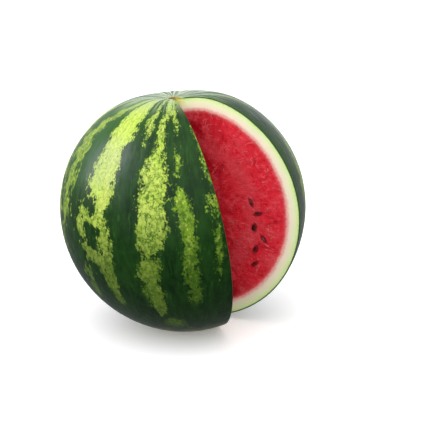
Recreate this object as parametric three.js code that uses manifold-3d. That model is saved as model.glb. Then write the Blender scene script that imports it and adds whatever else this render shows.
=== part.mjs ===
// A round watermelon with a wedge cut out of it from the stem end to the blossom end, so that the
// rind, the flesh and the seeds show on the two cut faces.
//
// Millimetres and degrees. +Z is up and -Y is the front. The origin is the middle of the flat spot
// that the melon rests on. The notch faces front right, and the stem end leans a little to the left.

import * as THREE from "three";
import { mergeVertices } from "three/addons/utils/BufferGeometryUtils.js";
import Module from "manifold-3d";

// The fruit. Its own frame has the middle of the fruit at the origin and the stem end up +Z.
const EQUATOR_DIAMETER = 250;
const POLE_TO_POLE = 250; // before the stem end sinks in
const SHOULDER_SWELL = 0.65; // how far the upper shoulder swells, and the lower one draws in
const SIDE_LUMP = 0.7; // height of the three broad lumps round the side
const LUMP_COUNT = 3;
const STEM_HOLLOW_DEPTH = 9.6;
const STEM_HOLLOW_REACH = 35.5; // from the stem to where most of the hollow has levelled out
const SCAR_PIT_DEPTH = 2.2; // the small pit that the stem left when it was picked
const SCAR_PIT_REACH = 4.5;
const REST_SPOT_RADIUS = 30; // flat spot at the bottom
const LEAN = 4.45; // of the stem end, towards -X

// The notch. Bearings are measured round the fruit's axis from the front, towards the right.
const NOTCH_BEARING = 14.7; // of the left cut face
const NOTCH_ANGLE = 48.2; // between the two cut faces
const KNIFE_LINE_FROM_STEM = { x: -5, y: -5 }; // where the cut faces meet, at the stem end
const KNIFE_LEAN_LEFT = 5.7; // of the line where the cut faces meet, against the fruit's axis
const KNIFE_LEAN_FRONT = 4.4;

// The seeds, each lying in a pocket of the flesh with a gap all round it.
const SEED_LENGTH = 9;
const SEED_WIDTH = 5.6;
const SEED_THICKNESS = 2.6;
const SEED_TAPER = 0.28; // how much narrower the pointed half is than the round one
const SEED_GAP = 0.3;
const DISH_MARGIN = 1.1; // the flesh is dished this far round a seed
const DISH_DEPTH = 1;

// How finely round shapes are divided.
const FRUIT_AROUND = 60;
const FRUIT_UP = 40;
const SEED_AROUND = 10;
const SEED_UP = 6;

const equatorRadius = EQUATOR_DIAMETER / 2;
const poleRadius = POLE_TO_POLE / 2;

// Seeds lie in a band round the heart of the fruit. For each one: height is its place along the knife
// line as a share of the pole's distance, out is its distance from that line as a share of the
// equator's, turn is how its point turns in the face, tip is how far it stands on its edge, and sunk is
// the depth of its middle under the face.
const RIGHT_FACE_SEEDS = [
  { height: 0.035, out: 0.56, turn: 100, tip: 62, sunk: 1.2 },
  { height: -0.062, out: 0.605, turn: 12, tip: 48, sunk: 1.1 },
  { height: -0.18, out: 0.55, turn: 75, tip: 20, sunk: 0.5 },
  { height: -0.28, out: 0.615, turn: 118, tip: 55, sunk: 1.2 },
  { height: -0.37, out: 0.53, turn: 60, tip: 35, sunk: 0.8 },
  { height: -0.5, out: 0.5, turn: 35, tip: 58, sunk: 1.5 },
];
const LEFT_FACE_SEEDS = [
  { height: 0.42, out: 0.5, turn: 55, tip: 60, sunk: 1.4 },
  { height: 0.3, out: 0.57, turn: 40, tip: 45, sunk: 1.1 },
  { height: 0.19, out: 0.52, turn: 15, tip: 52, sunk: 1.2 },
  { height: 0.08, out: 0.56, turn: 160, tip: 30, sunk: 0.7 },
  { height: -0.06, out: 0.53, turn: 140, tip: 40, sunk: 0.9 },
  { height: -0.16, out: 0.59, turn: 95, tip: 60, sunk: 1.3 },
  { height: -0.26, out: 0.5, turn: 110, tip: 50, sunk: 1.2 },
  { height: -0.37, out: 0.55, turn: 70, tip: 25, sunk: 0.6 },
];

const rindAndFlesh = new THREE.MeshStandardMaterial({ color: 0x3c6a2c, roughness: 0.4, metalness: 0 });
const seedCoat = new THREE.MeshStandardMaterial({ color: 0x2a0c08, roughness: 0.35, metalness: 0 });

const wasm = await Module();
wasm.setup();

// A three.js geometry as a manifold-3d solid.
function solidFrom(geometry) {
  const bare = geometry.clone();
  bare.deleteAttribute("normal");
  bare.deleteAttribute("uv");
  const merged = mergeVertices(bare, 1e-4);
  return new wasm.Manifold(
    new wasm.Mesh({
      numProp: 3,
      vertProperties: new Float32Array(merged.attributes.position.array),
      triVerts: new Uint32Array(merged.index.array),
    }),
  );
}

// A manifold-3d solid as a three.js geometry.
function geometryFrom(solid) {
  const mesh = solid.getMesh();
  const geometry = new THREE.BufferGeometry();
  geometry.setAttribute("position", new THREE.BufferAttribute(mesh.vertProperties, 3));
  geometry.setIndex(new THREE.BufferAttribute(mesh.triVerts, 1));
  geometry.computeVertexNormals();
  return geometry;
}

// A unit ball with its poles on Z, each of whose points is moved by shape(point).
function shapedBall(around, up, shape) {
  const ball = new THREE.SphereGeometry(1, around, up).rotateX(Math.PI / 2);
  const places = ball.attributes.position;
  const point = new THREE.Vector3();
  for (let i = 0; i < places.count; i++) {
    point.fromBufferAttribute(places, i).normalize();
    shape(point);
    places.setXYZ(i, point.x, point.y, point.z);
  }
  return ball;
}

// The fruit's distance from its middle to its skin, in the direction of a unit vector.
function skinRadius(direction) {
  const fromStem = Math.acos(THREE.MathUtils.clamp(direction.z, -1, 1));
  const bearing = Math.atan2(direction.x, -direction.y);
  const side = Math.sin(fromStem);
  const oval = 1 / Math.hypot(side / equatorRadius, direction.z / poleRadius);
  const swell = -SHOULDER_SWELL * Math.cos(3 * fromStem);
  const lumps = SIDE_LUMP * side ** 2 * Math.cos(LUMP_COUNT * bearing);
  const overSkin = fromStem * equatorRadius;
  const hollow = STEM_HOLLOW_DEPTH * Math.exp(-((overSkin / STEM_HOLLOW_REACH) ** 2));
  const pit = SCAR_PIT_DEPTH * Math.exp(-((overSkin / SCAR_PIT_REACH) ** 2));
  return oval + swell + lumps - hollow - pit;
}

// The fruit's frame, leaning, at the height where the floor cuts the flat spot at its stated radius.
function fruitFrame() {
  const frame = new THREE.Group();
  const lean = THREE.MathUtils.degToRad(LEAN);
  const down = new THREE.Vector3(-Math.sin(lean), 0, -Math.cos(lean));
  frame.rotation.y = -lean;
  frame.position.z = Math.sqrt(skinRadius(down) ** 2 - REST_SPOT_RADIUS ** 2);
  frame.updateMatrixWorld(true);
  return frame;
}

// The whole uncut fruit, with the flat spot that the floor gives it.
function wholeFruit(frame) {
  const fruit = solidFrom(
    shapedBall(FRUIT_AROUND, FRUIT_UP, (point) => point.multiplyScalar(skinRadius(point))),
  );
  const reach = EQUATOR_DIAMETER + POLE_TO_POLE;
  const underfloor = new THREE.BoxGeometry(reach, reach, reach)
    .translate(0, 0, -reach / 2)
    .applyMatrix4(frame.matrixWorld.clone().invert());
  return fruit.subtract(solidFrom(underfloor));
}

// The line where the cut faces meet. Its frame has its origin level with the fruit's middle and +Z up
// the line.
function knifeFrame() {
  const knife = new THREE.Group();
  const stem = skinRadius(new THREE.Vector3(0, 0, 1));
  const left = THREE.MathUtils.degToRad(KNIFE_LEAN_LEFT);
  const front = THREE.MathUtils.degToRad(KNIFE_LEAN_FRONT);
  knife.rotation.set(front, -left, 0, "YXZ");
  const along = new THREE.Vector3(0, 0, 1).applyEuler(knife.rotation);
  knife.position.set(KNIFE_LINE_FROM_STEM.x, KNIFE_LINE_FROM_STEM.y, stem);
  knife.position.addScaledVector(along, -stem / along.z);
  knife.updateMatrixWorld(true);
  return knife;
}

// The wedge that the notch leaves out, in the knife's frame.
function wedge() {
  const reach = EQUATOR_DIAMETER + POLE_TO_POLE;
  const corner = (bearing) => {
    const angle = THREE.MathUtils.degToRad(bearing);
    return [reach * Math.sin(angle), -reach * Math.cos(angle)];
  };
  const section = new THREE.Shape();
  section.moveTo(0, 0);
  section.lineTo(...corner(NOTCH_BEARING));
  section.lineTo(...corner(NOTCH_BEARING + NOTCH_ANGLE));
  section.closePath();
  const prism = new THREE.ExtrudeGeometry(section, { depth: 2 * reach, bevelEnabled: false });
  return prism.translate(0, 0, -reach);
}

// A cut face's frame: +X runs out from the knife line in the face and +Z out of the flesh into the
// notch, so +Y runs up the knife line on the right face and down it on the left one.
function faceFrame(bearing, intoNotch) {
  const angle = THREE.MathUtils.degToRad(bearing);
  const out = new THREE.Vector3(Math.sin(angle), -Math.cos(angle), 0);
  const open = new THREE.Vector3(Math.cos(angle), Math.sin(angle), 0).multiplyScalar(intoNotch);
  const up = new THREE.Vector3().crossVectors(open, out);
  const face = new THREE.Group();
  face.quaternion.setFromRotationMatrix(new THREE.Matrix4().makeBasis(out, up, open));
  return face;
}

// A flattened drop with its long axis on X and its point at +X, margin larger all round than a seed.
function seedShape(margin) {
  return shapedBall(SEED_AROUND, SEED_UP, (point) => {
    const narrowing = 1 - SEED_TAPER * point.x;
    point.x *= SEED_LENGTH / 2 + margin;
    point.y *= (SEED_WIDTH / 2) * narrowing + margin;
    point.z *= SEED_THICKNESS / 2 + margin;
  });
}

// Turns an object to lie as a seed does in its face.
function placeSeed(object, { height, out, turn, tip, sunk }, up) {
  object.position.set(out * equatorRadius, up * height * poleRadius, -sunk);
  object.rotation.set(THREE.MathUtils.degToRad(tip), 0, THREE.MathUtils.degToRad(turn), "ZXY");
}

// The seeds of one face, in its frame. up is -1 where the frame's +Y points down the knife line.
function seedsOf(face, side, seeds, up) {
  seeds.forEach((seed, i) => {
    const mesh = new THREE.Mesh(seedShape(0), seedCoat);
    mesh.name = `seed_${side}_${i + 1}`;
    placeSeed(mesh, seed, up);
    face.add(mesh);
  });
}

// The pocket that a seed leaves in the flesh: its own shape with the gap, and a shallow dish.
function pocket(seed, fruitInverse) {
  const room = solidFrom(seedShape(SEED_GAP).applyMatrix4(seed.matrix));
  const dish = shapedBall(SEED_AROUND, SEED_UP, (point) => {
    point.x *= SEED_LENGTH / 2 + DISH_MARGIN;
    point.y *= SEED_WIDTH / 2 + DISH_MARGIN;
    point.z *= DISH_DEPTH;
  });
  dish.rotateZ(seed.rotation.z).translate(seed.position.x, seed.position.y, 0);
  const toFruit = fruitInverse.clone().multiply(seed.parent.matrixWorld);
  return room.add(solidFrom(dish)).transform(toFruit.toArray());
}

const frame = fruitFrame();
const knife = knifeFrame();
frame.add(knife);

const leftFace = faceFrame(NOTCH_BEARING, 1);
const rightFace = faceFrame(NOTCH_BEARING + NOTCH_ANGLE, -1);
seedsOf(leftFace, "left", LEFT_FACE_SEEDS, -1);
seedsOf(rightFace, "right", RIGHT_FACE_SEEDS, 1);
knife.add(leftFace, rightFace);
frame.updateMatrixWorld(true);

const fruitInverse = frame.matrixWorld.clone().invert();
let flesh = wholeFruit(frame).subtract(solidFrom(wedge().applyMatrix4(knife.matrix)));
for (const seed of [...leftFace.children, ...rightFace.children]) {
  flesh = flesh.subtract(pocket(seed, fruitInverse));
}
const fruit = new THREE.Mesh(geometryFrom(flesh), rindAndFlesh);
fruit.name = "watermelon";
frame.add(fruit);

const watermelon = new THREE.Group();
watermelon.add(frame);
export default watermelon;
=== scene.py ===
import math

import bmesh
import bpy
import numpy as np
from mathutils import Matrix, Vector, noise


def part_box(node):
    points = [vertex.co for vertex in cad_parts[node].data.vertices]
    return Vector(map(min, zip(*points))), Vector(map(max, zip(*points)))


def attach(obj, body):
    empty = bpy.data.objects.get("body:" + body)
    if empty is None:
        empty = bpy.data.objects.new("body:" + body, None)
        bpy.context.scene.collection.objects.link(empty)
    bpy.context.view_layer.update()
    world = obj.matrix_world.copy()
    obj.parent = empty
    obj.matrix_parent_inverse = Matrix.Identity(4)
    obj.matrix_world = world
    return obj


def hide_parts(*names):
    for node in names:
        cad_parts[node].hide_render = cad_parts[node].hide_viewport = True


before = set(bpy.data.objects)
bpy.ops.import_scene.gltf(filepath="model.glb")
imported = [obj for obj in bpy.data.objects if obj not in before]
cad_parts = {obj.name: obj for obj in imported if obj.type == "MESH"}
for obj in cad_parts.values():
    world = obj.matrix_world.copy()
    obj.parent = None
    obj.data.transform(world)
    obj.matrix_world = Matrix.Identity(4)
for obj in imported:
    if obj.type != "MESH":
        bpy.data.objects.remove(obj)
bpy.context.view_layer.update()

# A round striped watermelon with a wedge cut out of it, on a pale floor in soft studio light.
#
# The fruit is one closed mesh: its skin, its two cut faces with the flesh's own relief, and the flat spot
# that it rests on. Each seed is a mesh of its own where the frame holds that seed. Shapes are in metres,
# and the materials and the stripes are in millimetres. Angles are in degrees. A bearing is measured round
# the fruit's axis from the front, towards the right, and a polar angle from the stem end.

MM = 0.001

# The fruit, as in the frame. Its own axis runs from the middle of the fruit to the stem end.
fruit_low, fruit_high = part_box("watermelon")
EQUATOR_RADIUS = (fruit_high.x - fruit_low.x) / 2
POLE_RADIUS = EQUATOR_RADIUS
SHOULDER_SWELL = 0.65 * MM
SIDE_LUMP = 0.7 * MM
LUMP_COUNT = 3
STEM_HOLLOW_DEPTH = 9.6 * MM
STEM_HOLLOW_REACH = 35.5 * MM
SCAR_PIT_DEPTH = 2.2 * MM
SCAR_PIT_REACH = 4.5 * MM
REST_SPOT_RADIUS = 30 * MM
REST_SPOT_ROUNDING = 0.5 * MM
LEAN = 4.45  # of the stem end, towards -X

# The skin's own unevenness. The inset keeps it inside the frame's skin.
SKIN_INSET = 0.35 * MM
DENT_HEIGHT = 0.09 * MM
PUCKER_HEIGHT = 0.28 * MM
PUCKER_PLACE = 11 * MM  # over the skin from the stem
PUCKER_REACH = 7 * MM

# The notch, as in the frame.
NOTCH_BEARING = 14.7  # of the left cut face
NOTCH_ANGLE = 48.2
KNIFE_LINE_FROM_STEM = Vector((-5 * MM, -5 * MM, 0))
KNIFE_LEAN_LEFT = 5.7
KNIFE_LEAN_FRONT = 4.4
RIGHT_BEARING = NOTCH_BEARING + NOTCH_ANGLE

# How finely the fruit is divided.
ROWS = 222  # from the stem end to the blossom end
SKIN_COLUMNS = 212
FACE_COLUMNS = 70
ROW_CROWDING = 0.1  # of the rows towards the stem end, where the scar is
SURFACE_STEPS = 12  # in which a ray finds the skin
KNIFE_BEVEL = 0.4 * MM  # of the skin's edge, where the knife went through
SMOOTH_UP_TO = 38  # the sharpest edge that is shaded smooth

# The flesh's relief on the cut faces, in millimetres under the plane of the cut.
FLESH_STARTS = 11  # under the skin, where the rind ends
FLESH_SUNK = 0.26
FLESH_BROAD_WAVES = 0.2
FLESH_FINE_GRAIN = 0.16
FLESH_FIBRES = 0.1
SEED_MOAT = 0.3  # a little way off each seed
SEED_LAP = 0.35  # over the plane, where the flesh laps over a seed's edge
MOST_SWOLLEN = 0.5  # over the plane, anywhere
SEED_CUTS = 3  # further divisions of the flesh round a seed
SEED_CUTS_REACH = 8 * MM

# The seeds' shape. Their middles, axes and sizes are the frame's.
SEED_AROUND = 40
SEED_ALONG = 28
SEED_TAPER = 0.28
SEED_RIM = 0.1
SEED_CHEEK = 0.16
SEED_SLIMMER = 0.93  # leaves room for the rim
SEED_SMALLER = 0.985  # keeps a seed inside the frame's

# The pale stripes. Each has how pale it is, from 0 to 1, and its run from the stem end down, as (polar
# angle, bearing, half width). A half width below 0 ends the stripe.
FRONT_STRIPES = [
    # the widest one, left of the middle
    (1.0, [(8, -30, 7), (20, -33, 8), (30, -34.5, 10), (40, -36, 9.4), (50, -38, 6.8), (60, -39, 7),
           (67, -39.5, 7.8), (71, -38, 5.5), (74.5, -38, 2.6), (78, -39, -1)]),
    # the broken patch below it, which has two arms round a dark hole
    (0.95, [(72, -39, -1), (75, -40, 3), (81, -39.5, 4.6), (86, -37, 3.6), (90, -36, 3.4), (95, -37, 4),
            (99, -39, 5), (103, -38, 3), (109, -38, 3.2), (115, -38.5, 3), (121, -38, 2), (127, -37, -1)]),
    (0.8, [(73, -51, -1), (76, -50.5, 1.6), (80, -47.5, 4), (83, -48.5, 3), (87, -49.5, 2.4),
           (92, -49, 3), (96, -47, 3.4), (99, -45, 2), (102, -44, -1)]),
    # its short side branch lower down
    (0.5, [(101, -51, -1), (104, -51, 1.2), (110, -54, 2.8), (118, -57, 3.2), (125, -60, 0.5),
           (130, -61, -2)]),
    # a short thin one
    (0.7, [(8, -13, 3), (18, -13, 2.4), (27, -14, 1.8), (33, -17, 3.1), (40, -17, 2.6), (45.5, -17.6, 0.5),
           (50, -18, -2)]),
    # the middle one
    (0.75, [(8, -2, 4.5), (16, -3, 3.6), (22, -4, 3), (26, -4.5, 3.2), (40, -8.8, 2.7), (49, -9, 2.7),
            (54, -10.8, 4.6), (60, -11.5, 5.9), (76, -12.5, 6.1), (84, -13, 6.2), (90, -14.2, 5.2),
            (99, -15.7, 5.2), (112, -16.4, 5), (123, -15.8, 3.6), (129, -16, 1.4), (133, -16, -1)]),
    # a streak at the top, a faint patch under it, and the one that starts half way down
    (0.6, [(8, 8, 4), (14, 4, 2.4), (21, 1, 2), (29, 0.4, 1.3), (39, 1.2, 0.4), (43, 1, -1)]),
    (0.2, [(47, 0.3, -0.6), (50, 0.3, 0.3), (56, 0.4, 0.9), (61, -0.2, 0.3), (63, 0, -1)]),
    (0.12, [(64.5, -0.4, -1), (68, 0.1, 2), (74, 0.5, 3.2), (81, 1.5, 3), (92, 2.6, 3.2), (104, 2.4, 3.4),
            (118, 3.4, 2.4), (126, 3, -1)]),
    # broken ones along the left cut edge
    (0.1, [(33, 12.6, -1), (38, 12.9, 1.2), (50, 14.2, 1), (60, 13.5, 1.4), (65, 14, 0.8), (69, 14, -0.6),
           (72, 15.5, 0.6), (80, 15.2, 1), (90, 14.7, 1), (104, 15, 0.6), (112, 15, -1)]),
    (0.2, [(69, 12, -0.8), (71, 12, 0.7), (77, 11.5, 0.6), (79, 11.5, -0.8)]),
    # the left margin
    (0.35, [(8, -46, 4), (21, -50, 5), (30, -58, 6), (38, -66, 7), (45, -69, 7.4), (52, -68, 7),
            (60, -68, 6.4), (66, -67.5, 5.6), (72, -68, 4.6), (80, -67.5, 3.8), (88, -70, 2.8),
            (96, -73, 1.8), (108, -76, 2.8), (118, -77, 1), (126, -77, -1)]),
    (0.95, [(20, -88, 3), (40, -92, 6), (58, -92, 8), (70, -86, 8), (80, -83, 8), (92, -85, 8),
            (104, -91, 6), (118, -94, 3), (132, -92, -1)]),
    # behind the right cut face
    (0.4, [(8, 70, 1), (30, 88, 2.6), (44, 89, 2.2), (52, 87, 4), (62, 82, 3.2), (70, 80, 3.8),
           (80, 80, 4.6), (96, 82, 5), (112, 80, 3.4), (126, 80, -1)]),
]
# Where dark green breaks a stripe up, as (polar angle, bearing, reach down the fruit, reach round it,
# millimetres taken off the stripe's depth).
BREAKS = [
    (84, -43.8, 1.6, 1.4, 6), (87.5, -42.8, 3, 2, 8), (79, -44, 1.4, 1.4, 6), (95, -14.5, 2.6, 7, 8),
    (108, -17, 2.5, 4, 4), (83, -10, 2, 2, 4), (66, -15, 2, 1.6, 5), (57, -43, 1.6, 2, 5),
    (36, -28, 2, 2, 5), (25, -56, 2, 3, 8), (31, -64, 1.8, 3, 12), (36, -60, 1.6, 2.5, 11),
    (40, -71, 1.7, 3, 13), (44, -64, 1.4, 2.2, 12), (49, -72.5, 1.6, 2.6, 13), (53, -65, 1.4, 2.2, 12),
    (57, -71, 1.5, 2.4, 12), (61, -64.5, 1.4, 2, 10), (65, -70, 1.4, 2.2, 10), (70, -66, 1.3, 2, 9),
    (76, -69, 1.3, 2, 8), (64, -86, 2, 3, 9), (76, -80, 2, 3, 9), (88, -84, 1.6, 3, 8),
]
BACK_STRIPES = 5  # more of the same, round the side that the front doesn't show
BACK_BEARINGS = (-128, -244)  # of the first and the last of them
BACK_START = 9  # polar angles
BACK_STEP = 11
BACK_END = 138
# Pale patches near the blossom end, as (polar angle, bearing, half length, half width), and their paleness.
BLOSSOM_PATCHES = [(137, -11, 5, 4.5), (139, -62, 7, 3.5), (141, 60, 6, 4), (136, 150, 6, 4)]
PATCH_PALENESS = 0.2
FAR_FROM_STRIPES = -20  # millimetres, as deep in the dark green as it is noted


# ---- The shape of the fruit ----


def skin_radius(direction):
    """How far the skin is from the fruit's middle, along unit vectors in the fruit's own frame."""
    polar = np.arccos(np.clip(direction[..., 2], -1, 1))
    bearing = np.arctan2(direction[..., 0], -direction[..., 1])
    side = np.sin(polar)
    over_skin = polar * EQUATOR_RADIUS
    radius = 1 / np.hypot(side / EQUATOR_RADIUS, direction[..., 2] / POLE_RADIUS)
    radius = radius - SHOULDER_SWELL * np.cos(3 * polar)
    radius = radius + SIDE_LUMP * side**2 * np.cos(LUMP_COUNT * bearing)
    radius = radius - STEM_HOLLOW_DEPTH * np.exp(-((over_skin / STEM_HOLLOW_REACH) ** 2))
    return radius - SCAR_PIT_DEPTH * np.exp(-((over_skin / SCAR_PIT_REACH) ** 2))


def skin_relief(direction):
    """The skin's small unevenness: broad dents, and puckers that run into the stem hollow."""
    polar = np.arccos(np.clip(direction[..., 2], -1, 1))
    bearing = np.arctan2(direction[..., 0], -direction[..., 1])
    over_skin = polar * EQUATOR_RADIUS
    puckers = np.cos(11 * bearing + 2 * np.sin(3 * bearing)) + 0.5 * np.cos(23 * bearing + 1.3)
    puckers = puckers * np.exp(-(((over_skin - PUCKER_PLACE) / PUCKER_REACH) ** 2))
    dents = np.cos(5 * bearing + 3 * polar) * np.sin(polar) ** 2 + np.cos(4 * polar + 2 * np.sin(bearing))
    return puckers * PUCKER_HEIGHT + dents * DENT_HEIGHT


def frames():
    """The fruit's frame in the world, and the knife line's frame in the fruit's."""
    lean = math.radians(LEAN)
    down = np.array((-math.sin(lean), 0, -math.cos(lean)))
    height = math.sqrt(float(skin_radius(down)) ** 2 - REST_SPOT_RADIUS**2)
    fruit = Matrix.Translation((0, 0, height)) @ Matrix.Rotation(-lean, 4, "Y")
    stem_height = float(skin_radius(np.array((0, 0, 1.0))))
    turn = Matrix.Rotation(-math.radians(KNIFE_LEAN_LEFT), 4, "Y")
    turn = turn @ Matrix.Rotation(math.radians(KNIFE_LEAN_FRONT), 4, "X")
    along = turn @ Vector((0, 0, 1))
    start = KNIFE_LINE_FROM_STEM + Vector((0, 0, stem_height))
    return fruit, Matrix.Translation(start - along * (stem_height / along.z)) @ turn


fruit_frame, knife_frame = frames()


def out_and_open(bearing, into_notch):
    """A cut face's way out from the knife line, and its way out of the flesh, in the knife's frame."""
    angle = math.radians(bearing)
    out = Vector((math.sin(angle), -math.cos(angle), 0))
    return out, Vector((math.cos(angle), math.sin(angle), 0)) * into_notch


def reach(directions):
    """How far the fruit's surface is from the middle of the knife line, along directions in its frame.

    The surface is the skin, or the floor where that is nearer.
    """
    turn = np.array(knife_frame.to_3x3())
    start = np.array(knife_frame.translation)
    rays = directions @ turn.T
    length = np.full(directions.shape[:-1], EQUATOR_RADIUS)
    for _ in range(SURFACE_STEPS):
        point = start + rays * length[..., None]
        distance = np.linalg.norm(point, axis=-1)
        unit = point / distance[..., None]
        skin = skin_radius(unit) - SKIN_INSET + skin_relief(unit)
        length = length - (distance - skin) / np.sum(unit * rays, axis=-1)
    down = -(rays @ np.array(fruit_frame.to_3x3()).T)[..., 2]
    height = (fruit_frame @ knife_frame.translation).z
    to_floor = np.where(down > 0.01, height / np.maximum(down, 0.01), 10)
    nearer = np.minimum(length, to_floor)
    gap = np.abs(length - to_floor) / REST_SPOT_ROUNDING
    return nearer - REST_SPOT_ROUNDING * np.log1p(np.exp(-gap)) * (to_floor < 1)


def row_angles():
    """Polar angles about the knife line, closer together near the stem end, where the scar is."""
    even = np.linspace(0, 1, ROWS + 1)
    return np.pi * (even - ROW_CROWDING * np.sin(np.pi * even) * (1 - even) ** 2)


def directions(polar, bearing):
    """Unit vectors for angles in radians."""
    polar, bearing = np.broadcast_arrays(polar, bearing)
    side = np.sin(polar)
    return np.stack((side * np.sin(bearing), -side * np.cos(bearing), np.cos(polar)), axis=-1)


class Fruit:
    """The fruit's points and faces. Points are in the knife line's frame until the mesh is made."""

    def __init__(self):
        self.points = []
        self.faces = []
        self.is_flesh = []

    def add(self, points):
        """Keeps points, and returns their numbers."""
        first = len(self.points)
        self.points.extend(points)
        return list(range(first, len(self.points)))

    def face(self, corners, flesh):
        """Keeps a face of numbered points, unless it has shrunk to a line."""
        corners = [c for i, c in enumerate(corners) if c != corners[i - 1]]
        if len(corners) > 2:
            self.faces.append(corners)
            self.is_flesh.append(flesh)

    def sheet(self, rows, flesh, flip=False):
        """Fills in between rows of numbered points."""
        for upper, lower in zip(rows, rows[1:]):
            for i in range(len(upper) - 1):
                corners = [upper[i], lower[i], lower[i + 1], upper[i + 1]]
                self.face(corners[::-1] if flip else corners, flesh)


def skin_rows(fruit, polar):
    """The skin, from the right cut face round the back to the left one."""
    edge = KNIFE_BEVEL / EQUATOR_RADIUS
    first = math.radians(RIGHT_BEARING) + edge
    last = math.radians(360 + NOTCH_BEARING) - edge
    bearing = np.linspace(first, last, SKIN_COLUMNS)
    grid = directions(polar[1:-1, None], bearing[None, :])
    points = grid * reach(grid)[..., None]
    return [fruit.add(list(row)) for row in points]


def face_rows(fruit, polar, bearing, line):
    """A cut face, as rows from the knife line out to the skin. line holds the rows' points on that line."""
    rays = directions(polar[1:-1], np.full(ROWS - 1, math.radians(bearing)))
    rim = rays * (reach(rays) - KNIFE_BEVEL)[:, None]
    share = np.linspace(0, 1, FACE_COLUMNS)[1:, None]
    rows = []
    for start, end in zip(line[1:-1], rim):
        from_line = np.array(fruit.points[start])
        rows.append([start] + fruit.add(list(from_line + (end - from_line) * share)))
    return rows


def fruit_points_and_faces():
    """The knife line, the skin and both cut faces, closed at the ends of the knife line."""
    fruit = Fruit()
    polar = row_angles()
    middle = math.radians(NOTCH_BEARING + NOTCH_ANGLE / 2)
    line_ends = reach(directions(polar[[0, -1]], np.array((middle, middle))))
    height = (1 + np.cos(polar)) / 2 * (line_ends[0] + line_ends[1]) - line_ends[1]
    line = fruit.add([np.array((0, 0, h)) for h in height])
    skin = skin_rows(fruit, polar)
    right = face_rows(fruit, polar, RIGHT_BEARING, line)
    left = face_rows(fruit, polar, NOTCH_BEARING, line)
    fruit.sheet(skin, flesh=False)
    fruit.sheet(right, flesh=True, flip=True)
    fruit.sheet(left, flesh=True)
    # the bevels between the cut faces and the skin
    fruit.sheet([[r[-1], s[0]] for r, s in zip(right, skin)], flesh=True)
    fruit.sheet([[s[-1], r[-1]] for r, s in zip(left, skin)], flesh=True)
    # the first and last rows close at the ends of the knife line
    for end, row, turned in ((line[0], 0, False), (line[-1], -1, True)):
        ring = right[row] + skin[row] + left[row][::-1]
        count = len(right[row])
        for i in range(len(ring) - 1):
            corners = [end, ring[i], ring[i + 1]]
            flesh = i < count or i >= len(ring) - count - 1
            fruit.face(corners[::-1] if turned else corners, flesh)
    return fruit


# ---- What the materials read from the mesh ----


def smooth_knots(knots, polar):
    """(bearing, half width) of a stripe at each polar angle, eased from one knot to the next."""
    at = [k[0] for k in knots]
    index = np.clip(np.searchsorted(at, polar) - 1, 0, len(knots) - 2)
    knots = np.array(knots)
    start, end = knots[index], knots[index + 1]
    part = np.clip((polar - start[:, 0]) / (end[:, 0] - start[:, 0]), 0, 1)
    part = (part * part * (3 - 2 * part))[:, None]
    mixed = start[:, 1:] * (1 - part) + end[:, 1:] * part
    beyond = np.maximum(knots[0, 0] - polar, 0) + np.maximum(polar - knots[-1, 0], 0)
    return mixed[:, 0], mixed[:, 1] - beyond


def back_stripes():
    """Stripes for the far side, of the same kind as the ones in front."""
    first, last = BACK_BEARINGS
    stripes = []
    for i in range(BACK_STRIPES):
        middle = first + (last - first) * i / (BACK_STRIPES - 1)
        knots = [(BACK_START, middle * 0.98, 4)]
        for step in range(1, 12):
            polar = BACK_START + step * BACK_STEP
            sway = 2.5 * math.sin(0.9 * step + 2.1 * i)
            swell = 5.4 + 1.7 * math.sin(1.7 * step + 1.3 * i) - 2.2 * (step in (4 + i % 3, 9))
            knots.append((polar, middle + sway, swell * min(1, 0.55 + 0.12 * step)))
        knots.append((BACK_END, middle, -1))
        stripes.append((0.6 + 0.3 * math.sin(2.3 * i), knots))
        if i < BACK_STRIPES - 1:
            beside = middle + (last - first) / (BACK_STRIPES - 1) / 2
            low = 58 + 9 * (i % 3)
            lower = [(low, beside, -1), (low + 8, beside + 1, 2.6), (low + 26, beside - 1, 3.4),
                     (low + 44, beside + 1.5, 2.4), (low + 58, beside, -1)]
            stripes.append((0.35, lower))
            stripes.append((0.6, [(8, beside, 1.5), (24, beside + 1, 1.8), (36, beside, -1)]))
    return stripes


def stripe_facts(direction):
    """How far inside a pale stripe a point of the skin is, and how pale that stripe is.

    The first is in millimetres as measured at the equator.
    """
    polar = np.degrees(np.arccos(np.clip(direction[:, 2], -1, 1)))
    bearing = np.degrees(np.arctan2(direction[:, 0], -direction[:, 1]))
    per_degree = math.radians(1) * EQUATOR_RADIUS / MM
    deepest = np.full(len(direction), float(FAR_FROM_STRIPES))
    paleness = np.full(len(direction), 0.5)
    for tone, knots in FRONT_STRIPES + back_stripes():
        middle, half = smooth_knots(knots, polar)
        aside = np.abs((bearing - middle + 180) % 360 - 180)
        depth = (half - aside) * per_degree
        paleness = np.where(depth > deepest, tone, paleness)
        deepest = np.maximum(deepest, depth)
    for break_polar, break_bearing, up, across, taken in BREAKS:
        aside = (bearing - break_bearing + 180) % 360 - 180
        away = ((polar - break_polar) / up) ** 2 + (aside / across) ** 2
        deepest = deepest - taken * np.exp(-away)
    for patch_polar, patch_bearing, length, width in BLOSSOM_PATCHES:
        aside = np.abs((bearing - patch_bearing + 180) % 360 - 180) * np.sin(np.radians(polar))
        away = np.hypot((polar - patch_polar) / length, aside / width)
        depth = (1 - away) * width * per_degree
        paleness = np.where(depth > deepest, PATCH_PALENESS, paleness)
        deepest = np.maximum(deepest, depth)
    return np.maximum(deepest, FAR_FROM_STRIPES), paleness


# ---- Seeds ----


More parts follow.
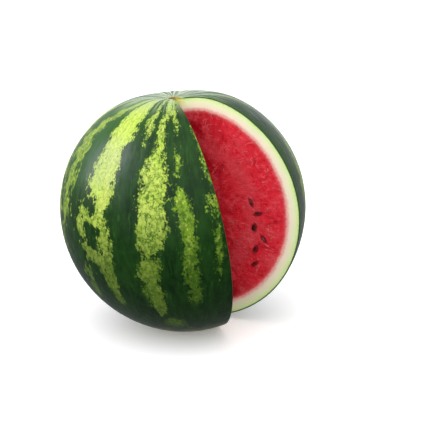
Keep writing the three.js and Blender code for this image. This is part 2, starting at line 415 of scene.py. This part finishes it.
def seed_frames():
    """For each seed of the frame: its middle, its axes with the point at +X, and its half sizes."""
    found = {}
    for name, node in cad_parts.items():
        if not name.startswith("seed"):
            continue
        places = np.array([v.co for v in node.data.vertices])
        places = np.unique(places.round(6), axis=0)
        middle = (places.max(0) + places.min(0)) / 2
        for _ in range(3):
            spread = places - middle
            axes = np.linalg.svd(spread, full_matrices=False)[2]
            local = spread @ axes.T
            middle = middle + (local.max(0) + local.min(0)) / 2 @ axes
        local = (places - middle) @ axes.T
        if np.sum(local[:, 0] * local[:, 1] ** 2) > 0:
            axes[0] = -axes[0]
        axes[2] = np.cross(axes[0], axes[1])
        half = (local.max(0) - local.min(0)) / 2
        found[name] = (middle, axes, half)
    return found


seeds = seed_frames()


def seed_mesh(name, middle, axes, half):
    """A flattened drop with a blunt point, a raised rim round its edge and two small cheeks at the point."""
    points = []
    for j in range(SEED_ALONG + 1):
        u = math.pi * j / SEED_ALONG
        x = -math.cos(u)
        wide = math.sin(u) ** 0.92 * (1 - SEED_TAPER * x) * (1 - 0.12 * max(0, x) ** 3)
        for i in range(SEED_AROUND):
            v = 2 * math.pi * i / SEED_AROUND
            y = math.cos(v)
            z = math.sin(v)
            rim = 1 + SEED_RIM * abs(y) ** 8
            cheek = SEED_CHEEK * math.exp(-(((x - 0.82) / 0.1) ** 2)) * abs(z) ** 3
            high = (wide * 0.86 + cheek) * rim
            points.append((x, y * wide * SEED_SLIMMER, z * high * SEED_SLIMMER))
    mesh = bpy.data.meshes.new(name)
    faces = []
    for j in range(SEED_ALONG):
        here = j * SEED_AROUND
        beyond = here + SEED_AROUND
        for i in range(SEED_AROUND):
            k = (i + 1) % SEED_AROUND
            faces.append((here + i, here + k, beyond + k, beyond + i))
    places = np.array(points) * half * SEED_SMALLER @ axes + middle
    mesh.from_pydata([tuple(p) for p in places], [], faces)
    work = bmesh.new()
    work.from_mesh(mesh)
    bmesh.ops.remove_doubles(work, verts=work.verts, dist=1e-6)
    bmesh.ops.recalc_face_normals(work, faces=work.faces)
    for face in work.faces:
        face.smooth = True
    work.to_mesh(mesh)
    work.free()
    return bpy.data.objects.new(name, mesh)


# ---- The fruit's mesh ----

to_world = fruit_frame @ knife_frame
CUT_FACES = {"right": out_and_open(RIGHT_BEARING, -1), "left": out_and_open(NOTCH_BEARING, 1)}


def seeds_of_face(side):
    """The seeds of a face, as (out, up, along, half length, half width) on that face.

    Out is from the knife line and up is along it, in metres. Along is the way of the seed's long axis. The
    half sizes are in millimetres.
    """
    out, _ = CUT_FACES[side]
    back = to_world.inverted()
    marks = []
    for name, (middle, axes, half) in seeds.items():
        if side not in name:
            continue
        place = back @ Vector(middle)
        on_face_axes = []
        for axis in axes:
            local = back.to_3x3() @ Vector(axis)
            on_face_axes.append(Vector((local.dot(out), local.z)))
        along = on_face_axes[0].normalized()
        across = Vector((-along.y, along.x))
        half_length = math.hypot(*(h * a.dot(along) for h, a in zip(half, on_face_axes)))
        half_width = math.hypot(*(h * a.dot(across) for h, a in zip(half, on_face_axes)))
        marks.append((place.dot(out), place.z, along, half_length / MM, half_width / MM))
    return marks


def flesh_relief(out, up, depth, marks):
    """How far the flesh lies under the plane of the cut, in metres, and how close it is to a seed.

    Right beside a seed the flesh swells a little over the plane and laps over the seed's edge.
    """
    spot = Vector((out, up, 0)) / MM
    broad = noise.noise(spot / 17)
    fine = noise.fractal(spot / 3.2, 0.8, 2.1, 3)
    fibre = noise.noise(Vector((spot.x / 9, spot.y / 2.1, 4.0)))
    soft = min(1, max(0, (depth / MM - FLESH_STARTS) / 8)) * min(1, out / (6 * MM))
    waves = FLESH_BROAD_WAVES * broad + FLESH_FINE_GRAIN * fine + FLESH_FIBRES * fibre
    sunk = soft * (FLESH_SUNK + waves)
    near = 0
    for seed_out, seed_up, flat, half_length, half_width in marks:
        dx, dy = (out - seed_out) / MM, (up - seed_up) / MM
        if abs(dx) > 11 or abs(dy) > 11:
            continue
        along = dx * flat.x + dy * flat.y
        across = -dx * flat.y + dy * flat.x
        ragged = 0.2 * noise.noise(Vector((dx, dy, seed_out / MM)) / 1.4)
        away = math.hypot(along / half_length, across / half_width) + ragged
        sunk += SEED_MOAT * math.exp(-(((away - 1.75) / 0.35) ** 2))
        sunk -= (SEED_LAP + sunk) * math.exp(-((max(0, away - 0.8) / 0.32) ** 2))
        near = max(near, 1 / (1 + math.exp((away - 1.15) * 7)))
    return max(-MOST_SWOLLEN, sunk) * MM, near


def make_fruit():
    """The fruit's object. Its faces have material 0 on the skin and 1 on the flesh."""
    fruit = fruit_points_and_faces()
    mesh = bpy.data.meshes.new("watermelon_fruit")
    mesh.from_pydata([tuple(p) for p in fruit.points], [], fruit.faces)
    mesh.polygons.foreach_set("material_index", [int(f) for f in fruit.is_flesh])
    work = bmesh.new()
    work.from_mesh(mesh)
    marks = {side: seeds_of_face(side) for side in CUT_FACES}
    divide_round_seeds(work, marks)
    shape_flesh(work, marks)
    work.transform(to_world)
    for vertex in work.verts:
        vertex.co.z = max(0, vertex.co.z)
    for face in work.faces:
        face.smooth = True
    for edge in work.edges:
        edge.smooth = edge.is_manifold and edge.calc_face_angle(0) < math.radians(SMOOTH_UP_TO)
    bmesh.ops.recalc_face_normals(work, faces=work.faces)
    work.to_mesh(mesh)
    work.free()
    piece = bpy.data.objects.new("watermelon_fruit", mesh)
    write_skin_facts(mesh)
    return piece


def on_face(point, side):
    """(out, up, distance off the plane) of a point in the knife's frame, on one of the cut faces."""
    out, open_way = CUT_FACES[side]
    return point.dot(out), point.z, point.dot(open_way)


def divide_round_seeds(work, marks):
    """Divides the flesh's faces near the seeds, so that their hollows have room for a shape."""
    edges = set()
    for face in work.faces:
        if face.material_index != 1:
            continue
        middle = face.calc_center_median()
        for side, seeds_here in marks.items():
            out, up, off = on_face(middle, side)
            if abs(off) > 0.1 * MM:
                continue
            if any(math.hypot(out - mark[0], up - mark[1]) < SEED_CUTS_REACH for mark in seeds_here):
                edges.update(face.edges)
    bmesh.ops.subdivide_edges(work, edges=list(edges), cuts=SEED_CUTS, use_grid_fill=True)


def shape_flesh(work, marks):
    """Gives the flesh its relief, and notes how deep a point is under the skin and how near a seed."""
    depth_layer = work.verts.layers.float.new("depth")
    seed_layer = work.verts.layers.float.new("seed_near")
    flesh_points = {v for f in work.faces if f.material_index == 1 for v in f.verts}
    for vertex in work.verts:
        place = knife_frame @ vertex.co
        unit = np.array(place.normalized())
        depth = float(skin_radius(unit)) - SKIN_INSET - place.length
        vertex[depth_layer] = max(0, depth) / MM
        if vertex not in flesh_points:
            continue
        for side, seeds_here in marks.items():
            out, up, off = on_face(vertex.co, side)
            if abs(off) < 0.05 * MM and out > 0.5 * MM:
                sunk, near = flesh_relief(out, up, max(0, depth), seeds_here)
                vertex.co -= CUT_FACES[side][1] * sunk
                vertex[seed_layer] = near
                break


def write_skin_facts(mesh):
    """Stores, for the skin's material, how far inside a pale stripe a point is, and how pale that is."""
    places = np.empty(len(mesh.vertices) * 3)
    mesh.vertices.foreach_get("co", places)
    places = places.reshape(-1, 3)
    back = np.array(fruit_frame.inverted())
    local = places @ back[:3, :3].T + back[:3, 3]
    unit = local / np.maximum(np.linalg.norm(local, axis=1), 1e-9)[:, None]
    for name, values in zip(("stripe", "paleness"), stripe_facts(unit)):
        layer = mesh.attributes.new(name, "FLOAT", "POINT")
        layer.data.foreach_set("value", values.astype(np.float32))


# ---- Materials ----


def srgb(red, green, blue):
    """A colour given in 0 to 255 as it shows on screen, in the linear light that shaders use."""
    def linear(value):
        value = value / 255
        return value / 12.92 if value <= 0.04045 else ((value + 0.055) / 1.055) ** 2.4
    return (linear(red), linear(green), linear(blue), 1)


class Nodes:
    """Short names for the shader nodes that the materials use."""

    def __init__(self, name):
        self.material = bpy.data.materials.new(name)
        self.material.use_nodes = True
        self.tree = self.material.node_tree
        self.shader = self.tree.nodes["Principled BSDF"]

    def put(self, socket, value):
        if isinstance(value, bpy.types.NodeSocket):
            self.tree.links.new(value, socket)
        else:
            socket.default_value = value

    def give(self, **values):
        """Sets the shader's own inputs. Specular_IOR_Level stands for Specular IOR Level."""
        for name, value in values.items():
            self.put(self.shader.inputs[name.replace("_", " ")], value)

    def add(self, kind, **settings):
        node = self.tree.nodes.new("ShaderNode" + kind)
        for key, value in settings.items():
            setattr(node, key, value)
        return node

    def calc(self, operation, a, b=0.0, clamp=False):
        node = self.add("Math", operation=operation, use_clamp=clamp)
        self.put(node.inputs[0], a)
        self.put(node.inputs[1], b)
        return node.outputs[0]

    def plus(self, total, *values):
        for value in values:
            total = self.calc("ADD", total, value)
        return total

    def times(self, total, *values):
        for value in values:
            total = self.calc("MULTIPLY", total, value)
        return total

    def distance(self, a, b=(0, 0, 0)):
        node = self.add("VectorMath", operation="DISTANCE")
        self.put(node.inputs[0], a)
        self.put(node.inputs[1], b)
        return node.outputs["Value"]

    def join(self, x, y, z):
        node = self.add("CombineXYZ")
        for socket, value in zip(node.inputs, (x, y, z)):
            self.put(socket, value)
        return node.outputs[0]

    def split(self, vector):
        node = self.add("SeparateXYZ")
        self.put(node.inputs[0], vector)
        return node.outputs[:3]

    def noise(self, vector, size, detail=2.0, roughness=0.5, distortion=0.0, spread=1.0):
        """Noise about 0, from roughly -spread to spread, with features about size long."""
        node = self.add("TexNoise")
        self.put(node.inputs["Vector"], vector)
        self.put(node.inputs["Scale"], 1 / size)
        self.put(node.inputs["Detail"], detail)
        self.put(node.inputs["Roughness"], roughness)
        self.put(node.inputs["Distortion"], distortion)
        return self.times(self.calc("SUBTRACT", node.outputs["Fac"], 0.5), 2 * spread * 1.6)

    def step(self, value, low, high, start=0.0, end=1.0):
        """Eases from start to end as value goes from low to high."""
        node = self.add("MapRange", interpolation_type="SMOOTHSTEP")
        for socket, given in zip(node.inputs, (value, low, high, start, end)):
            self.put(socket, given)
        return node.outputs[0]

    def mix(self, factor, a, b):
        node = self.add("Mix", data_type="RGBA")
        for socket, value in zip((node.inputs[0], node.inputs[6], node.inputs[7]), (factor, a, b)):
            self.put(socket, value)
        return node.outputs[2]

    def ramp(self, value, stops):
        node = self.add("ValToRGB")
        ramp = node.color_ramp
        ramp.interpolation = "EASE"
        for i, (position, colour) in enumerate(stops):
            element = ramp.elements[i] if i < 2 else ramp.elements.new(position)
            element.position = position
            element.color = colour
        self.put(node.inputs[0], value)
        return node.outputs[0]

    def attribute(self, name):
        return self.add("Attribute", attribute_name=name).outputs["Fac"]

    def bump(self, height, distance):
        node = self.add("Bump")
        self.put(node.inputs["Height"], height)
        self.put(node.inputs["Distance"], distance)
        self.put(node.inputs["Strength"], 1.0)
        return node.outputs[0]

    def place_in(self, matrix):
        """The point's place in another frame, in millimetres."""
        coordinates = self.add("TexCoord").outputs["Object"]
        node = self.add("Mapping", vector_type="POINT")
        inverse = matrix.inverted()
        self.put(node.inputs["Vector"], coordinates)
        self.put(node.inputs["Location"], inverse.translation / MM)
        self.put(node.inputs["Rotation"], inverse.to_euler())
        self.put(node.inputs["Scale"], (1 / MM, 1 / MM, 1 / MM))
        return node.outputs[0]


class Skin(Nodes):
    """The skin's nodes, with where a point is: in the fruit's frame, and over the skin from the stem."""

    def __init__(self, name):
        super().__init__(name)
        equator = EQUATOR_RADIUS / MM
        self.place = self.place_in(fruit_frame)
        self.x, self.y, self.z = self.split(self.place)
        aside = self.calc("MAXIMUM", self.distance(self.join(self.x, self.y, 0.0)), 0.01)
        self.over = self.times(self.calc("ARCTAN2", aside, self.z), equator)
        self.turn_x = self.times(self.calc("DIVIDE", self.x, aside), equator)
        self.turn_y = self.times(self.calc("DIVIDE", self.y, aside), equator)

    def along(self, stretch):
        """Coordinates that run with the stripes: features are stretched that much from pole to pole."""
        return self.join(self.turn_x, self.turn_y, self.calc("DIVIDE", self.over, stretch))


def stripe_mask(skin):
    """Where the pale stripes are, with ragged and netted edges, and more broken on the left side."""
    wander = skin.noise(skin.along(2.2), 13, detail=1, spread=2.2)
    ragged = skin.noise(skin.along(1.5), 4.8, detail=3, roughness=0.6, spread=6.5)
    netted = skin.noise(skin.along(1.1), 2.0, detail=2, roughness=0.6, spread=5)
    broken = skin.noise(skin.along(1.4), 8, detail=2, spread=17)
    broken = skin.times(broken, skin.step(skin.x, -62, -90))
    edge = skin.plus(skin.attribute("stripe"), wander, ragged, netted, broken)
    return skin.step(edge, -1.9, 2.7)


def stripe_veins(skin, lower):
    """Dark veins that net each pale stripe, thinner in its middle and wider lower down."""
    vein = skin.noise(skin.along(1.3), 6.5, detail=2, roughness=0.55, distortion=0.6)
    inside = skin.step(skin.attribute("stripe"), -1, 9)
    width = skin.plus(skin.times(inside, -0.12), 0.22, skin.times(lower, 0.16))
    veined = skin.step(skin.calc("DIVIDE", skin.calc("ABSOLUTE", vein), width), 1.3, 0.2)
    patchy = skin.step(skin.noise(skin.along(1.4), 12, detail=2), -0.7, 0.6, 0.1, 0.8)
    return skin.times(veined, patchy)


def dark_skin(skin):
    """The dark green, with clouds and fine streaks in it, lighter at the upper left, partly fresher green
    and partly painted light.
    """
    broad = skin.step(skin.noise(skin.place, 60, detail=1), -0.7, 0.7)
    cloud = skin.step(skin.noise(skin.along(2.5), 7, detail=3, roughness=0.6), -0.8, 0.8)
    streak = skin.step(skin.noise(skin.along(5), 2.6, detail=2), 0.25, 0.85)
    upper_left_light = skin.step(skin.plus(skin.x, skin.over), 70, 20, 0, 0.6)
    colour = skin.mix(broad, srgb(12, 38, 14), srgb(22, 52, 16))
    colour = skin.mix(skin.times(cloud, 0.6), colour, srgb(38, 78, 26))
    # partly painted light: the upper left, where the light comes from, is lighter
    colour = skin.mix(upper_left_light, colour, srgb(44, 98, 22))
    return skin.mix(skin.times(streak, 0.3), colour, srgb(62, 112, 38))


def pale_skin(skin):
    """The pale green: mottled and netted, less so on the palest stripe, and darker lower down, partly duller
    skin and partly painted shade.
    """
    paleness = skin.attribute("paleness")
    lower = skin.step(skin.over, 150, 235)
    busy = skin.step(paleness, 0.95, 1.0, 1, 0.45)
    fresher = skin.step(skin.noise(skin.along(1.6), 20, detail=2), -0.7, 0.7, 0, 0.4)
    mottle = skin.noise(skin.along(1.2), 3.0, detail=3, roughness=0.7)
    darker = skin.times(skin.step(mottle, 0.1, -0.55, 0, 0.95), busy)
    lighter = skin.step(mottle, 0.1, 0.6, 0, 0.6)
    colour = skin.mix(paleness, srgb(92, 126, 30), srgb(192, 208, 98))
    colour = skin.mix(fresher, colour, srgb(160, 200, 34))
    colour = skin.mix(darker, colour, srgb(74, 112, 26))
    colour = skin.mix(lighter, colour, srgb(210, 226, 108))
    colour = skin.mix(skin.times(stripe_veins(skin, lower), busy), colour, srgb(46, 88, 24))
    # darker lower down: partly duller stripes, partly painted shade where less light reaches the lower side
    return skin.mix(skin.times(lower, 0.7), colour, srgb(58, 92, 24))


LEFT_CHEEK = (-67, -79, 70)  # in the fruit's frame, where a painted highlight and a little wax cloud the palest stripe


def wax_bloom_and_sheen(skin):
    """How much grey clouds the skin, partly wax bloom and partly painted reflection: on the right shoulder,
    on the left cheek, where it is a painted highlight, and at the back.
    """
    clouded = skin.noise(skin.place, 30, detail=3, spread=14)
    clouded = skin.plus(clouded, skin.noise(skin.along(3), 6, spread=10))
    shoulder = skin.plus(skin.x, skin.times(skin.z, 0.75), skin.times(skin.y, 0.6), clouded)
    cheek = skin.plus(skin.distance(skin.place, LEFT_CHEEK), clouded)
    back = skin.plus(skin.y, skin.z, skin.noise(skin.place, 20, detail=2, spread=10))
    bloom_and_sheen = skin.step(shoulder, 124, 162, 0, 0.42)
    bloom_and_sheen = skin.calc("MAXIMUM", bloom_and_sheen, skin.step(cheek, 46, 6, 0, 0.2))
    return skin.calc("MAXIMUM", bloom_and_sheen, skin.step(back, 92, 130, 0, 0.42))


def scars(skin, scar_edge, colour):
    """Lays the stem's scar, the blossom's scar and the ground spot over the skin's colour."""
    # the stem's is a corky brown disc with a paler rim
    rim = skin.times(skin.step(scar_edge, 4.6, 6.0), skin.step(scar_edge, 9.5, 7.0))
    colour = skin.mix(skin.times(rim, 0.6), colour, srgb(176, 170, 112))
    speckle = skin.step(skin.noise(skin.place, 1.1, detail=3), -0.5, 0.5)
    cork = skin.mix(speckle, srgb(86, 60, 34), srgb(150, 116, 70))
    colour = skin.mix(skin.step(scar_edge, 6.0, 3.6), colour, cork)
    # the blossom's is under the fruit
    from_blossom = skin.calc("SUBTRACT", math.pi * EQUATOR_RADIUS / MM, skin.over)
    blossom_edge = skin.plus(from_blossom, skin.noise(skin.place, 1.8, detail=2, spread=0.8))
    colour = skin.mix(skin.step(blossom_edge, 7.0, 3.6, 0, 0.8), colour, srgb(150, 130, 84))
    # the ground spot is yellowish, where the fruit lay as it grew
    low = skin.plus(skin.z, skin.noise(skin.place, 14, detail=3, spread=7.0))
    return skin.mix(skin.step(low, -98, -122, 0, 0.55), colour, srgb(196, 186, 108))


def skin_material():
    """Striped waxy skin."""
    skin = Skin("watermelon_skin")
    pale = stripe_mask(skin)
    colour = skin.mix(pale, dark_skin(skin), pale_skin(skin))

    # fine pale rays round the stem with a painted sheen over them, then grey wax bloom with painted
    # reflection over them all
    ray = skin.step(skin.noise(skin.along(9), 9, detail=2), -0.12, 0.22)
    bright = skin.calc("MAXIMUM", ray, skin.times(pale, 0.9))
    rays_and_sheen = skin.mix(bright, srgb(48, 78, 40), srgb(178, 196, 146))
    # painted sheen: near the stem the skin's colour is greyed and lightened towards the rays' colour
    colour = skin.mix(skin.step(skin.over, 18, 74, 0.92, 0.0), colour, rays_and_sheen)
    faded_ray = skin.times(ray, skin.step(skin.over, 40, 100, 1, 0.2))
    # grey of wax bloom and of painted reflection, lighter along the rays
    wax_and_sheen_colour = skin.mix(faded_ray, srgb(116, 126, 134), srgb(206, 213, 210))
    colour = skin.mix(wax_bloom_and_sheen(skin), colour, wax_and_sheen_colour)
    scar_edge = skin.plus(skin.over, skin.noise(skin.place, 2.2, detail=2, spread=0.9))
    colour = scars(skin, scar_edge, colour)

    # a little rougher on the pale stripes and in the hollow, and much rougher on the cork
    scar = skin.step(scar_edge, 6.0, 3.6)
    uneven = skin.step(skin.noise(skin.place, 9, detail=4, roughness=0.6), -0.8, 0.8, 0.28, 0.4)
    hollow = skin.step(skin.over, 60, 24, 0, 0.35)
    smoother = skin.plus(uneven, skin.times(pale, 0.05), hollow)
    roughness = skin.calc("ADD", smoother, skin.times(scar, 0.35), clamp=True)

    pores = skin.times(skin.noise(skin.place, 0.8, detail=2), 0.1)
    dimples = skin.times(skin.noise(skin.along(1.5), 5, detail=3), 0.25)
    flakes = skin.times(skin.noise(skin.place, 0.9, detail=3), scar)
    height = skin.plus(pores, dimples, flakes)

    skin.give(Base_Color=colour, Roughness=roughness, Normal=skin.bump(height, 0.0004))
    skin.give(Specular_IOR_Level=0.1)
    skin.give(Sheen_Weight=0.12, Sheen_Roughness=0.35, Sheen_Tint=(0.8, 0.9, 0.95, 1))
    return skin.material


SEED_BAND_RADIUS = 70  # of the band round the middle of the fruit where the seeds lie


def flesh_colour(nodes, place, out, grain, strand):
    """Deep red by the knife line, partly the heart's own deeper red and partly painted shade deep in the
    notch, lighter outwards, with pale grains, fibres, a pale seed band and painted shade round the seeds.
    """
    heart_and_shade = nodes.step(nodes.plus(out, nodes.noise(place, 14, detail=2, spread=9)), 10, 60)
    blotch = nodes.noise(place, 17, detail=3, roughness=0.6)
    # partly painted shade: the flesh darkens towards the knife line, deep in the notch
    colour = nodes.mix(heart_and_shade, srgb(138, 2, 20), srgb(226, 46, 62))
    colour = nodes.mix(nodes.step(blotch, -0.1, 0.7, 0, 0.65), colour, srgb(230, 82, 92))
    colour = nodes.mix(nodes.step(blotch, -0.1, -0.8, 0, 0.6), colour, srgb(168, 8, 28))
    colour = nodes.mix(nodes.step(grain, 0.05, 0.7, 0, 0.5), colour, srgb(236, 96, 104))
    colour = nodes.mix(nodes.step(grain, -0.1, -0.7, 0, 0.6), colour, srgb(158, 4, 24))
    colour = nodes.mix(nodes.times(strand, 0.6), colour, srgb(242, 150, 148))
    off_band = nodes.calc("ABSOLUTE", nodes.calc("SUBTRACT", nodes.distance(place), SEED_BAND_RADIUS))
    off_band = nodes.plus(off_band, nodes.noise(place, 12, detail=2, spread=6))
    colour = nodes.mix(nodes.step(off_band, 14, 2, 0, 0.42), colour, srgb(222, 88, 98))
    # painted shade right round a seed, in the hollow that it sits in
    near = nodes.attribute("seed_near")
    return nodes.mix(nodes.times(near, 0.85), colour, srgb(104, 4, 18))


def rind_colour(nodes, soft_depth):
    """Green under the skin, then almost white, then pink into the flesh."""
    return nodes.ramp(nodes.calc("DIVIDE", soft_depth, 20), [
        (0.0, srgb(170, 216, 120)), (0.13, srgb(224, 250, 178)), (0.3, srgb(242, 253, 210)),
        (0.5, srgb(250, 246, 220)), (0.66, srgb(246, 190, 180)), (0.8, srgb(228, 108, 112)),
    ])


def stem_core(nodes, place, z, out, soft_depth, colour):
    """Lays the stem's own core over the colour, cut beside the scar: brown, running out into yellow."""
    stained = nodes.plus(out, nodes.noise(place, 3, detail=3, spread=3))
    beside_stem = nodes.step(z, 60, 80)
    stains = (
        (srgb(214, 200, 84), (20, 8), (12, 5)),
        (srgb(122, 78, 24), (12, 3), (9, 3)),
        (srgb(122, 66, 40), (3.5, 0.5), (26, 8)),
    )
    for stain, reach_out, reach_down in stains:
        amount = nodes.times(nodes.step(stained, *reach_out), nodes.step(soft_depth, *reach_down))
        colour = nodes.mix(nodes.times(amount, beside_stem, 0.75), colour, stain)
    return colour


def flesh_material():
    """The cut faces: rind, flesh and the stem's core."""
    nodes = Nodes("watermelon_flesh")
    place = nodes.place_in(to_world)
    depth = nodes.attribute("depth")
    x, y, z = nodes.split(place)
    out = nodes.distance(nodes.join(x, y, 0.0))

    # depth under the skin, with an uneven edge between rind and flesh
    wavy = nodes.noise(place, 16, detail=2, spread=1.0)
    grainy = nodes.noise(place, 2.2, detail=3, roughness=0.6, spread=1.1)
    soft_depth = nodes.plus(depth, wavy, grainy)

    # grains, and broken fibres that fan out from the heart
    grain = nodes.noise(place, 4.4, detail=3, roughness=0.6)
    turned = nodes.times(nodes.calc("ARCTAN2", z, out), 24)
    fan = nodes.join(turned, nodes.calc("DIVIDE", out, 11), nodes.calc("DIVIDE", z, 11))
    strands = nodes.calc("ABSOLUTE", nodes.noise(fan, 1.7, detail=2, distortion=1.2))
    broken = nodes.step(nodes.noise(place, 11, detail=2), 0.05, 0.5)
    strand = nodes.times(nodes.step(strands, 0.1, 0.0), broken)

    flesh = flesh_colour(nodes, place, out, grain, strand)
    colour = nodes.mix(nodes.step(soft_depth, 12.5, 18.5), rind_colour(nodes, soft_depth), flesh)
    # the skin's own thin green edge
    colour = nodes.mix(nodes.step(depth, 1.5, 0.8), colour, srgb(40, 84, 34))
    colour = stem_core(nodes, place, z, out, soft_depth, colour)

    fleshy = nodes.step(soft_depth, 11, 17)
    wet = nodes.step(nodes.noise(place, 3.0, detail=3), -0.7, 0.7, 0.3, 0.5)
    roughness = nodes.plus(wet, nodes.times(fleshy, 0.06))

    cells = nodes.add("TexVoronoi")
    nodes.put(cells.inputs["Vector"], place)
    nodes.put(cells.inputs["Scale"], 0.75)
    pulp = nodes.plus(
        nodes.times(cells.outputs["Distance"], -0.5), nodes.times(grain, 0.5), nodes.times(strand, 0.25))
    height = nodes.times(pulp, nodes.plus(nodes.times(fleshy, 0.9), 0.1))

    nodes.give(Base_Color=colour, Roughness=roughness, Normal=nodes.bump(height, 0.0007))
    nodes.give(Specular_IOR_Level=0.1)
    nodes.give(Subsurface_Weight=0.12, Subsurface_Radius=(1.0, 0.3, 0.2), Subsurface_Scale=0.003)
    return nodes.material


def seed_material():
    """A seed's dark, slightly glossy coat."""
    nodes = Nodes("watermelon_seed_coat")
    place = nodes.place_in(Matrix.Identity(4))
    broad = nodes.noise(place, 3, detail=2)
    speck = nodes.noise(place, 0.7, detail=3)
    fine = nodes.noise(place, 0.45, detail=2)
    colour = nodes.mix(nodes.step(broad, -0.6, 0.6), srgb(26, 5, 7), srgb(54, 12, 12))
    colour = nodes.mix(nodes.step(speck, 0.2, 0.9, 0, 0.5), colour, srgb(84, 28, 20))
    roughness = nodes.step(broad, -0.8, 0.8, 0.18, 0.34)
    nodes.give(Base_Color=colour, Roughness=roughness, Normal=nodes.bump(fine, 0.00002))
    nodes.give(Coat_Weight=0.15, Coat_Roughness=0.12)
    return nodes.material


def floor_material():
    """A plain pale floor, with a faint glow that keeps it near white."""
    nodes = Nodes("pale_floor")
    grain = nodes.noise(nodes.add("TexCoord").outputs["Object"], 0.4, detail=2)
    nodes.give(Base_Color=nodes.mix(nodes.step(grain, -1, 1), srgb(250, 250, 250), srgb(252, 252, 252)))
    nodes.give(Roughness=0.9, Specular_IOR_Level=0.1)
    nodes.give(Sheen_Weight=0.12, Sheen_Roughness=0.35, Sheen_Tint=(0.8, 0.9, 0.95, 1))
    nodes.give(Emission_Color=(1, 1, 1, 1), Emission_Strength=0.16)
    return nodes.material


# ---- The scene ----


def show(piece):
    bpy.context.scene.collection.objects.link(piece)
    return piece


def build_fruit():
    piece = show(make_fruit())
    piece.data.materials.append(skin_material())
    piece.data.materials.append(flesh_material())
    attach(piece, "root")
    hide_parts("watermelon")


def build_seeds():
    coat = seed_material()
    for name, (middle, axes, half) in seeds.items():
        piece = show(seed_mesh("melon_" + name, middle, axes, half))
        piece.data.materials.append(coat)
        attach(piece, "root")
        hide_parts(name)


FLOOR_RADIUS = 14


def build_floor():
    mesh = bpy.data.meshes.new("studio_floor")
    work = bmesh.new()
    bmesh.ops.create_circle(work, cap_ends=True, segments=96, radius=FLOOR_RADIUS)
    work.to_mesh(mesh)
    work.free()
    floor = show(bpy.data.objects.new("studio_floor", mesh))
    mesh.materials.append(floor_material())
    # the floor throws no light up, so that the fruit's underside stays dark as in the photograph
    floor.visible_diffuse = False
    floor.visible_glossy = False


CAMERA_ELEVATION = 14.8
CAMERA_DISTANCE = 1.0  # from the middle of the fruit
CAMERA_LENS = 78.8  # millimetres, on a sensor 36 across
CAMERA_REACH = 60  # past the far edge of the floor
AIM_RIGHT = 40.7 * MM  # the camera looks past the fruit, which sits left of the middle of the frame
AIM_DOWN = 15.6 * MM


def build_camera():
    lens = bpy.data.cameras.new("camera")
    lens.lens = CAMERA_LENS
    lens.clip_end = CAMERA_REACH
    camera = show(bpy.data.objects.new("camera", lens))
    elevation = math.radians(CAMERA_ELEVATION)
    centre = fruit_frame.translation
    back = Vector((0, -math.cos(elevation), math.sin(elevation)))
    up = Vector((0, math.sin(elevation), math.cos(elevation)))
    camera.location = centre + back * CAMERA_DISTANCE
    aim = centre + Vector((AIM_RIGHT, 0, 0)) - up * AIM_DOWN
    camera.rotation_euler = (aim - camera.location).to_track_quat("-Z", "Y").to_euler()
    bpy.context.scene.camera = camera


def softbox(name, place, size, power):
    """A rectangular light at a place, turned to the fruit. It shows only in gloss."""
    light = bpy.data.lights.new(name, "AREA")
    light.shape = "RECTANGLE"
    light.size, light.size_y = size
    light.energy = power
    lamp = show(bpy.data.objects.new(name, light))
    lamp.location = place
    lamp.rotation_euler = (fruit_frame.translation - Vector(place)).to_track_quat("-Z", "Y").to_euler()
    lamp.visible_diffuse = False


def soft_sun(name, towards, strength, spread):
    """Light that shines towards a direction, from a patch of sky that is spread degrees across."""
    light = bpy.data.lights.new(name, "SUN")
    light.energy = strength
    light.angle = math.radians(spread)
    lamp = show(bpy.data.objects.new(name, light))
    lamp.rotation_euler = Vector(towards).to_track_quat("-Z", "Y").to_euler()


SKY_LOW = 0.34  # brightness of the surroundings at the horizon, overhead and under the floor
SKY_HIGH = 1.0
SKY_UNDER = 0.16


def build_world():
    """Light that is strongest from above. What the camera sees past the floor is plain white."""
    world = bpy.data.worlds.new("studio")
    world.use_nodes = True
    tree = world.node_tree
    background = tree.nodes["Background"]
    direction = tree.nodes.new("ShaderNodeTexCoord").outputs["Generated"]
    height = tree.nodes.new("ShaderNodeSeparateXYZ")
    tree.links.new(direction, height.inputs[0])
    above = tree.nodes.new("ShaderNodeMapRange")
    below = tree.nodes.new("ShaderNodeMapRange")
    for node, values in ((above, (0, 1, 0, SKY_HIGH - SKY_LOW)), (below, (-0.25, 0, SKY_UNDER, SKY_LOW))):
        tree.links.new(height.outputs[2], node.inputs[0])
        for socket, value in zip(list(node.inputs)[1:5], values):
            socket.default_value = value
    total = tree.nodes.new("ShaderNodeMath")
    tree.links.new(above.outputs[0], total.inputs[0])
    tree.links.new(below.outputs[0], total.inputs[1])
    seen = tree.nodes.new("ShaderNodeLightPath")
    choose = tree.nodes.new("ShaderNodeMix")
    tree.links.new(seen.outputs["Is Camera Ray"], choose.inputs[0])
    tree.links.new(total.outputs[0], choose.inputs[2])
    choose.inputs[3].default_value = 1
    tree.links.new(choose.outputs[0], background.inputs["Strength"])
    background.inputs["Color"].default_value = (1, 1, 1, 1)
    bpy.context.scene.world = world


def build_light():
    build_world()
    soft_sun("front_key", towards=(0.38, 0.7, -0.6), strength=2.9, spread=100)
    soft_sun("back_fill", towards=(-0.4, -0.75, -0.5), strength=0.8, spread=120)
    softbox("left_window", place=(-0.83, 0.05, 0.62), size=(0.4, 0.7), power=10)
    bpy.context.scene.view_settings.view_transform = "Standard"


build_fruit()
build_seeds()
build_floor()
build_camera()
build_light()
